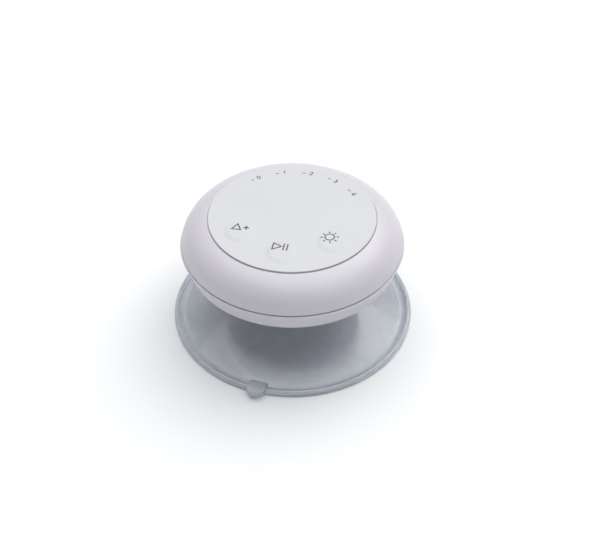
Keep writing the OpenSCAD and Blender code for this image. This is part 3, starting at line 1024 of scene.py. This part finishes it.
    def build_upper(self) -> bpy.types.Object:
        """Builds the crown with its deck.

        Returns:
            The shell.
        """
        base = self.seam_z - self.crown_drop
        wide = self.seam_r - self.ledge - self.crown_c
        tall = (self.crown_z - base) / math.sqrt(1 - ((self.recess_r - self.crown_c) / wide) ** 2)
        start = math.degrees(math.asin((self.seam_z + 0.3 - base) / tall))
        end = math.degrees(math.asin((self.crown_z - base) / tall))
        in_wide, in_tall = wide - self.wall, tall - self.wall
        deck_low = self.deck_top - self.deck_t
        step_z = self.lip_z + self.step_rise
        skirt_r = self.inner_r + self.tongue + 0.3
        wall_z = base + in_tall * math.sqrt(1 - ((self.inner_r - self.crown_c) / in_wide) ** 2)
        in_start = math.degrees(math.asin((wall_z - base) / in_tall))
        in_end = math.degrees(math.asin((deck_low - base) / in_tall))
        edge_r = self.crown_c + wide * math.cos(math.radians(start))
        outline = Outline().to((skirt_r, self.seam_z))
        outline.arc((edge_r - 0.3, self.seam_z + 0.3), (0.3, 0.3), 270, 350, 5)
        outline.arc((self.crown_c, base), (wide, tall), start + 0.6, end - 0.5, 44)
        lip = 0.12
        outline.arc((self.recess_r + lip, self.crown_z - lip), (lip, lip), 70, 180, 5)
        outline.to((self.recess_r, self.deck_top), (0, self.deck_top), (0, deck_low))
        outline.arc((self.crown_c, base), (in_wide, in_tall), in_end, in_start, 16)
        outline.to((self.inner_r, step_z), (skirt_r, step_z))
        shell = new_piece("upper_shell", turned_mesh(outline, steps=224))
        foot = self.column_top + 0.1
        bosses = [pin(self.crown_boss_r, foot, self.crown_boss_top, at) for at in self.screw_places()]
        shape(shell, Cut.ADD, bosses)
        above = self.deck_top + 1
        holes = [pin(self.key_hole_r, deck_low - 1, above, at, 64) for at in KeyPad.centres()]
        shape(shell, Cut.REMOVE, holes)
        return self.settle(shell, "top_shell")

    def settle(self, shell: bpy.types.Object, node: str) -> bpy.types.Object:
        """Shades a shell, rides it on the housing and gives it its finish.

        Args:
            shell: the shell.
            node: the CAD node it stands for.

        Returns:
            The shell.
        """
        smooth(shell)
        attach(shell, Body.HOUSING.value)
        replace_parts(shell, node)
        dress(shell, self.finish.build())
        return shell


@dataclass
class KeyPad:
    """The panel film, its three raised key areas, and the key bodies under it."""

    film: Moulded
    key: Moulded
    dome_r: float = 5.9
    dome_h: float = 0.4
    shoulder: float = 2.4
    sunk: float = 0.15
    pressed_share: float = 0.15
    edge_round: float = 0.12

    @staticmethod
    def centres() -> list[Point]:
        """The keys' axes in the order up, play, light."""
        found = []
        for node in ("key_up", "key_play", "key_light"):
            low, high = low_mm(node), high_mm(node)
            found.append(((low.x + high.x) / 2, (low.y + high.y) / 2))
        return found

    @property
    def face_z(self) -> float:
        """Height of the film's face."""
        return high_mm("panel_sheet").z

    def rise(self, distance: float) -> float:
        """Height of a key area over the film, at a distance from the key's axis."""
        inward = min(1.0, max(0.0, (self.dome_r - distance) / self.shoulder))
        return self.dome_h * inward * inward * (3 - 2 * inward)

    def build_film(self) -> bpy.types.Object:
        """Builds the sheet.

        Returns:
            The sheet.
        """
        low, high = low_mm("panel_sheet"), high_mm("panel_sheet")
        edge = self.edge_round
        outline = Outline().to((0, low.z), (high.x, low.z))
        outline.arc((high.x - edge, high.z - edge), (edge, edge), 0, 90, 7)
        outline.to((high.x - edge - 0.1, high.z), (20.0, high.z), (0, high.z))
        sheet = new_piece("panel_film", turned_mesh(outline, steps=224))
        smooth(sheet)
        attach(sheet, Body.HOUSING.value)
        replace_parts(sheet, "panel_sheet")
        dress(sheet, self.film.build())
        return sheet

    def build_areas(self, film: bpy.types.Object) -> list[bpy.types.Object]:
        """Builds the raised areas over the keys.

        Args:
            film: the sheet, whose material they share.

        Returns:
            The three areas.
        """
        areas = []
        for name, at in zip(("up", "play", "light"), self.centres()):
            outline = Outline().to((0, self.face_z - self.sunk), (self.dome_r, self.face_z - self.sunk))
            outline.curve(lambda r: self.face_z + self.rise(r), self.dome_r, 0.0, 24)
            area = new_piece(f"key_area_{name}", turned_mesh(outline, at, 96))
            smooth(area)
            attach(area, Body.HOUSING.value)
            dress(area, film.data.materials[0])
            self.flatten(area, name)
            areas.append(area)
        return areas

    def flatten(self, piece: bpy.types.Object, key_name: str) -> None:
        """Gives a piece on a key area its own copy of its mesh.

        Args:
            piece: the piece.
            key_name: up, play or light; not used.
        """
        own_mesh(piece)

    def build_keys(self) -> list[bpy.types.Object]:
        """Builds the key bodies under the film.

        Returns:
            The three keys.
        """
        keys = []
        material = self.key.build()
        names = (("up", Body.UP_KEY), ("play", Body.PLAY_KEY), ("light", Body.LIGHT_KEY))
        under = low_mm("panel_sheet").z - 0.05
        for (name, body), at in zip(names, self.centres()):
            low = low_mm(f"key_{name}").z
            outline = Outline().to((0, low), (1.7, low), (1.7, low + 0.8), (6.5, low + 0.8))
            outline.to((6.6, low + 0.9), (6.6, low + 1.6), (5.6, low + 1.6), (5.5, low + 1.7))
            outline.to((5.5, under - 0.3), (5.2, under), (0, under))
            key = new_piece(f"key_body_{name}", turned_mesh(outline, at, 96))
            smooth(key)
            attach(key, body.value)
            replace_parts(key, f"key_{name}")
            dress(key, material)
            keys.append(key)
        return keys


# Strokes of each printed sign, in millimetres about its centre
SIGNS: dict[str, list[list[Point]]] = {
    "1": [[(-0.38, 0.5), (0.08, 0.85), (0.08, -0.85)]],
    "2": [
        [(-0.52, 0.42), (-0.4, 0.72), (0.0, 0.87), (0.42, 0.7), (0.5, 0.35), (0.3, 0.0)],
        [(0.3, 0.0), (-0.55, -0.85), (0.58, -0.85)],
    ],
    "3": [
        [(-0.5, 0.62), (-0.1, 0.86), (0.35, 0.74), (0.48, 0.42), (0.3, 0.12), (-0.08, 0.03)],
        [(-0.08, 0.03), (0.36, -0.08), (0.54, -0.42), (0.36, -0.76), (-0.08, -0.87), (-0.52, -0.64)],
    ],
    "4": [[(0.25, -0.87), (0.25, 0.87), (-0.62, -0.4), (0.62, -0.4)]],
    "up": [
        [(-2.95, -1.35), (-1.4, 1.6), (0.15, -1.35), (-2.95, -1.35)],
        [(0.85, 0.0), (3.0, 0.0)],
        [(1.92, 1.08), (1.92, -1.08)],
    ],
    "play": [
        [(-2.45, 1.8), (-2.45, -1.8), (0.45, 0.0), (-2.45, 1.8)],
        [(1.3, 1.75), (1.3, -1.75)],
        [(2.5, 1.75), (2.5, -1.75)],
    ],
}


@dataclass
class Legends:
    """The printed scale and the signs on the keys, as thin raised ink."""

    pad: KeyPad
    ink: Ink
    scale_r: float = 24.9
    digit_r: float = 25.1
    digit_turn: float = -6.2
    step_deg: float = 22.9
    mark_w: float = 0.32
    mark_l: float = 1.3
    digit_line: float = 0.34
    sign_line: float = 0.5
    ink_t: float = 0.03
    grain_step: float = 0.35
    sign_places: dict[str, Point] = field(
        default_factory=lambda: {"up": (-16.2, -10.1), "play": (-1.0, -17.75), "light": (14.8, -10.0)}
    )

    def build(self) -> list[bpy.types.Object]:
        """Prints the scale and the three signs.

        Returns:
            The printed pieces.
        """
        material = self.ink.build()
        scale = self.print_piece("scale_print", self.scale_strips(), lambda x, y: 0.0)
        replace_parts(scale, "scale_marks")
        printed = [scale]
        for (name, place), centre in zip(self.sign_places.items(), self.pad.centres()):
            lines = [self.dense(line) for line in self.sign(name)]
            strips = [self.strip(line, self.sign_line, place, 0.0) for line in lines]
            rise = self.rise_rule(centre)
            sign = self.print_piece(f"sign_{name}", strips, rise)
            self.pad.flatten(sign, name)
            printed.append(sign)
        for piece in printed:
            dress(piece, material)
        return printed

    def rise_rule(self, centre: Point) -> Callable[[float, float], float]:
        """The height of a key area at a point on the panel."""
        return lambda x, y: self.pad.rise(math.hypot(x - centre[0], y - centre[1]))

    def sign(self, name: str) -> list[list[Point]]:
        """The strokes of a sign.

        Args:
            name: up, play or light.

        Returns:
            Lines of points about the sign's centre.
        """
        if name != "light":
            return SIGNS[name]
        lines = [circle_line(1.62, 1.62)]
        for i in range(8):
            a = math.radians(45 * i + 10)
            ray = (math.cos(a), math.sin(a))
            lines.append([(2.35 * ray[0], 2.35 * ray[1]), (3.2 * ray[0], 3.2 * ray[1])])
        return lines

    def scale_strips(self) -> list[Strip]:
        """The scale's marks and numerals.

        Returns:
            One strip of left and right points for each stroke.
        """
        strips = []
        for i in range(5):
            a = 90 + self.step_deg * (2 - i)
            place = ring_of(self.scale_r, [a])[0]
            line = [(-self.mark_l / 2, 0.0), (self.mark_l / 2, 0.0)]
            strips.append(self.strip(line, self.mark_w, place, a - 90))
            turn = a + self.digit_turn
            place = ring_of(self.digit_r, [turn])[0]
            lines = SIGNS[str(i)] if i else [circle_line(0.55, 0.85)]
            strips += [self.strip(line, self.digit_line, place, turn - 90) for line in lines]
        return strips

    def dense(self, line: list[Point]) -> list[Point]:
        """The same line with points close enough to follow a raised area."""
        out = [line[0]]
        for (x0, y0), (x1, y1) in zip(line, line[1:]):
            parts = max(1, math.ceil(math.hypot(x1 - x0, y1 - y0) / self.grain_step))
            for k in range(1, parts + 1):
                out.append((x0 + (x1 - x0) * k / parts, y0 + (y1 - y0) * k / parts))
        return out

    @staticmethod
    def strip(line: list[Point], width: float, place: Point, turn_deg: float) -> Strip:
        """Widens a line into pairs of left and right points.

        Args:
            line: the stroke's middle.
            width: its width.
            place: where its origin lies on the panel.
            turn_deg: how far it is turned.

        Returns:
            The pairs along the stroke.
        """
        closed = math.dist(line[0], line[-1]) < 1e-6
        turn = math.radians(turn_deg)
        pairs = []
        for i, (x, y) in enumerate(line):
            before = line[i - 1] if i else (line[-2] if closed else None)
            after = line[i + 1] if i + 1 < len(line) else (line[1] if closed else None)
            ways = [Vector((x - before[0], y - before[1])).normalized()] if before else []
            ways += [Vector((after[0] - x, after[1] - y)).normalized()] if after else []
            ahead = sum(ways, Vector((0, 0))).normalized()
            side = Vector((-ahead.y, ahead.x))
            reach = width / 2 / max(0.45, side.dot(Vector((-ways[0].y, ways[0].x))))
            corners = []
            for sign in (1, -1):
                px, py = x + side.x * reach * sign, y + side.y * reach * sign
                corners.append((place[0] + px * math.cos(turn) - py * math.sin(turn),
                                place[1] + px * math.sin(turn) + py * math.cos(turn)))
            pairs.append((corners[0], corners[1]))
        return pairs

    def print_piece(
        self, name: str, strips: list[Strip], rise: Callable[[float, float], float]
    ) -> bpy.types.Object:
        """Makes one printed piece from its strips.

        Args:
            name: the piece's name.
            strips: pairs of left and right points, one list for each stroke.
            rise: the height of the surface over the film.

        Returns:
            The piece.
        """
        build = bmesh.new()
        for pairs in strips:
            layers = []
            for offset in (-self.ink_t, self.ink_t):
                rows = []
                for pair in pairs:
                    heights = [self.pad.face_z + rise(x, y) + offset for x, y in pair]
                    corners = [Vector((x, y, z)) * MM for (x, y), z in zip(pair, heights)]
                    rows.append([build.verts.new(corner) for corner in corners])
                layers.append(rows)
            low, high = layers
            for k in range(len(pairs) - 1):
                build.faces.new((high[k][0], high[k + 1][0], high[k + 1][1], high[k][1]))
                build.faces.new((low[k][0], low[k][1], low[k + 1][1], low[k + 1][0]))
                for side in (0, 1):
                    build.faces.new((low[k][side], low[k + 1][side], high[k + 1][side], high[k][side]))
            for k in (0, len(pairs) - 1):
                build.faces.new((low[k][0], low[k][1], high[k][1], high[k][0]))
        piece = new_piece(name, finished(build, name))
        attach(piece, Body.HOUSING.value)
        return piece


def circle_line(rx: float, ry: float, steps: int = 28) -> list[Point]:
    """A closed round line."""
    angles = [2 * math.pi * k / steps for k in range(steps + 1)]
    return [(rx * math.cos(a), ry * math.sin(a)) for a in angles]


@dataclass
class Fittings:
    """The CAD nodes that keep their shape and get a finish by their slot."""

    record: dict
    nodes: dict[str, bpy.types.Object]
    bevelled: tuple[str, ...] = (
        "port_flap", "screw_plugs", "main_chip", "amplifier_chip", "battery_cell"
    )
    bevel: float = 0.15

    def finishes(self) -> dict[str, Union[Moulded, Metal, Clear, Board, Ink]]:
        """The finish of each slot.

        Returns:
            Finishes by slot name.
        """
        return {
            "rubber_white": Moulded("silicone_white", (0.66, 0.66, 0.68), 0.55, 0.03, 0.000008, 2000.0),
            "rubber_black": Moulded("rubber_black", (0.02, 0.02, 0.021), 0.6),
            "rubber_grey": Moulded("foam_grey", (0.12, 0.12, 0.13), 0.9, 0.25, 0.00008, 1400.0),
            "chip_black": Moulded("epoxy_black", (0.02, 0.02, 0.022), 0.5, 0.2, 0.00001, 3200.0),
            "led_lens": Moulded(
                "lens_yellow", (0.82, 0.72, 0.3), 0.2, 0.05, 0.000001, 1500.0, subsurface=0.2
            ),
            "capacitor_tan": Moulded("ceramic_tan", (0.33, 0.24, 0.12), 0.35, 0.2),
            "connector_cream": Moulded("nylon_cream", (0.72, 0.66, 0.5), 0.4),
            "wire_red": Moulded("wire_red", (0.4, 0.015, 0.015), 0.4),
            "wire_grey": Moulded("wire_grey", (0.08, 0.08, 0.085), 0.4),
            "magnet_dark": Moulded("magnet_ferrite", (0.04, 0.04, 0.045), 0.5, 0.3, 0.00002, 1500.0),
            "cone_black": Moulded(
                "cone_film", (0.02, 0.02, 0.022), 0.3, weave=Weave.RINGS, pitch=0.0009
            ),
            "membrane_white": Moulded(
                "membrane", (0.75, 0.75, 0.76), 0.8, weave=Weave.SQUARE, pitch=0.00015
            ),
            "steel": Metal("steel_plated", (0.62, 0.62, 0.64), 0.28),
            "mesh_steel": Metal(
                "mesh_black", (0.05, 0.05, 0.055), 0.4, weave=Weave.SQUARE, pitch=0.0003
            ),
            "copper": Metal("copper_wound", (0.75, 0.33, 0.16), 0.3, weave=Weave.ALONG_Z, pitch=0.00016),
            "battery_foil": Metal("battery_foil", (0.68, 0.69, 0.7), 0.35, (1.0, 1.0, 1.0), 0.00006),
            "board_green": Board("solder_mask"),
            "clear_acrylic": Clear("acrylic", (0.95, 0.97, 1.0), 0.05),
        }

    def dress_all(self, replaced: Iterable[str]) -> int:
        """Gives every carried-over node its finish.

        Args:
            replaced: nodes that other pieces stand for.

        Returns:
            How many nodes were dressed.
        """
        finishes = self.finishes()
        made: dict[str, bpy.types.Material] = {}
        slots = {row["node"]: row["material_slot"] for row in self.record["subparts"]}
        hidden = set(replaced)
        for name in sorted(set(self.nodes) - hidden):
            slot = slots[name]
            if slot not in made:
                made[slot] = finishes[slot].build()
            dress(self.nodes[name], made[slot])
            self.shade_node(self.nodes[name], name)
        return len(self.nodes) - len(hidden)

    def shade_node(self, node: bpy.types.Object, name: str) -> None:
        """Softens a node's edges where they show and evens its shading.

        Args:
            node: the node's object.
            name: its name.
        """
        if name in self.bevelled:
            soft = node.modifiers.new("soft_edges", "BEVEL")
            soft.width = self.bevel * MM
            soft.segments = 3
            soft.limit_method = "ANGLE"
            soft.angle_limit = math.radians(40)
        even = node.modifiers.new("even_normals", "WEIGHTED_NORMAL")
        even.keep_sharp = True


@dataclass
class Studio:
    """Camera, floor and soft light."""

    azimuth_deg: float = 10.5
    elevation_deg: float = 44.63
    distance: float = 0.36445
    aim: tuple[float, float, float] = (0.00144, 0.00759, 0.0073)
    lens_mm: float = 57.0
    sensor_mm: float = 36.0
    floor_half: float = 4.0
    floor_white: float = 0.9
    floor_drop: float = 0.00005
    sky: float = 0.24
    sky_tone: Colour = (0.88, 0.92, 1.0)
    sun: float = 2.75
    sun_spread_deg: float = 78.0
    sun_lean_deg: tuple[float, float] = (-15.0, 3.0)
    side_azimuth_deg: float = 140.0
    side_elevation_deg: float = 45.0
    side_distance: float = 1.5
    side_size: tuple[float, float] = (1.0, 0.7)
    side_watts: float = 3.0

    @staticmethod
    def way_to(azimuth_deg: float, elevation_deg: float) -> Vector:
        """The direction of a point round the puck, with azimuth 0 at the front."""
        turn, rise = math.radians(azimuth_deg), math.radians(elevation_deg)
        flat = math.cos(rise)
        return Vector((math.sin(turn) * flat, -math.cos(turn) * flat, math.sin(rise)))

    def build_camera(self) -> bpy.types.Object:
        """Sets up the camera.

        Returns:
            The camera.
        """
        lens = bpy.data.cameras.new("camera")
        lens.lens = self.lens_mm
        lens.sensor_width = self.sensor_mm
        lens.clip_start = 0.01
        lens.dof.use_dof = False
        camera = bpy.data.objects.new("camera", lens)
        bpy.context.scene.collection.objects.link(camera)
        camera.location = self.way_to(self.azimuth_deg, self.elevation_deg) * self.distance
        look = Vector(self.aim) - camera.location
        camera.rotation_euler = look.to_track_quat("-Z", "Y").to_euler()
        bpy.context.scene.camera = camera
        return camera

    def build_light(self) -> None:
        """Lays the floor and lights it with one broad lamp and a pale sky."""
        mesh = bpy.data.meshes.new("floor")
        half, z = self.floor_half, -self.floor_drop
        corners = [(-half, -half, z), (half, -half, z), (half, half, z), (-half, half, z)]
        mesh.from_pydata(corners, [], [(0, 1, 2, 3)])
        floor = new_piece("floor", mesh)
        graph = Graph("floor_white")
        cloud = graph.ramp(graph.noise(9.0, 2.0), 0.3, 0.7)
        white = (self.floor_white,) * 3
        colour = graph.tint(cloud, shade(white, 0.995), white)
        mesh.materials.append(graph.finish(Base_Color=colour, Roughness=0.9, Specular_IOR_Level=0.1))
        lamp = bpy.data.lights.new("broad_lamp", "SUN")
        lamp.energy = self.sun
        lamp.angle = math.radians(self.sun_spread_deg)
        holder = bpy.data.objects.new("broad_lamp", lamp)
        holder.rotation_euler = (*(math.radians(lean) for lean in self.sun_lean_deg), 0)
        bpy.context.scene.collection.objects.link(holder)
        self.build_side_lamp()
        world = bpy.data.worlds.new("pale_sky")
        world.use_nodes = True
        sky = world.node_tree.nodes["Background"]
        sky.inputs["Color"].default_value = (*self.sky_tone, 1.0)
        sky.inputs["Strength"].default_value = self.sky
        bpy.context.scene.world = world
        bpy.context.scene.view_settings.view_transform = "Standard"

    def build_side_lamp(self) -> None:
        """Adds the weaker lamp behind the puck on its right."""
        lamp = bpy.data.lights.new("side_lamp", "AREA")
        lamp.shape = "RECTANGLE"
        lamp.size, lamp.size_y = self.side_size
        lamp.energy = self.side_watts
        holder = bpy.data.objects.new("side_lamp", lamp)
        way = self.way_to(self.side_azimuth_deg, self.side_elevation_deg)
        holder.location = way * self.side_distance
        holder.rotation_euler = (-way).to_track_quat("-Z", "Y").to_euler()
        bpy.context.scene.collection.objects.link(holder)


def main() -> None:
    """Builds the scene piece by piece round the frame."""
    logging.basicConfig(level=logging.INFO, format="%(name)s: %(message)s")
    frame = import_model()
    studio = Studio()
    studio.build_camera()
    LOG.info("camera set")

    shell = Moulded("shell_white", (0.675, 0.645, 0.69), 0.34, 0.02, 0.000003, 2400.0)
    film = Moulded("film_white", (0.65, 0.65, 0.66), 0.5, 0.02, 0.000006, 3000.0)
    vinyl = Clear("vinyl_clear", (0.94, 0.965, 1.0), 0.06, 1.0, 0.00002, 1.37)
    milky = Clear("vinyl_milky", (0.84, 0.885, 0.935), 0.12, 0.55, 0.00002, 1.37)

    pieces = [*SuctionCup(vinyl, milky).build(), SwivelHub(shell).build()]
    housing = Housing(shell)
    pieces += [housing.build_lower(), housing.build_upper()]
    pad = KeyPad(film, film)
    sheet = pad.build_film()
    pieces += [sheet, *pad.build_areas(sheet), *pad.build_keys()]
    pieces += Legends(pad, Ink("legend_ink")).build()
    for piece in pieces:
        LOG.info("built %s, %d faces", piece.name, len(piece.data.polygons))

    replaced = {node for piece in pieces for node in piece.get("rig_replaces", [])}
    dressed = Fittings(frame["record"], frame["nodes"]).dress_all(replaced)
    LOG.info("dressed %d fittings", dressed)
    studio.build_light()


if __name__ == "__main__":
    main()
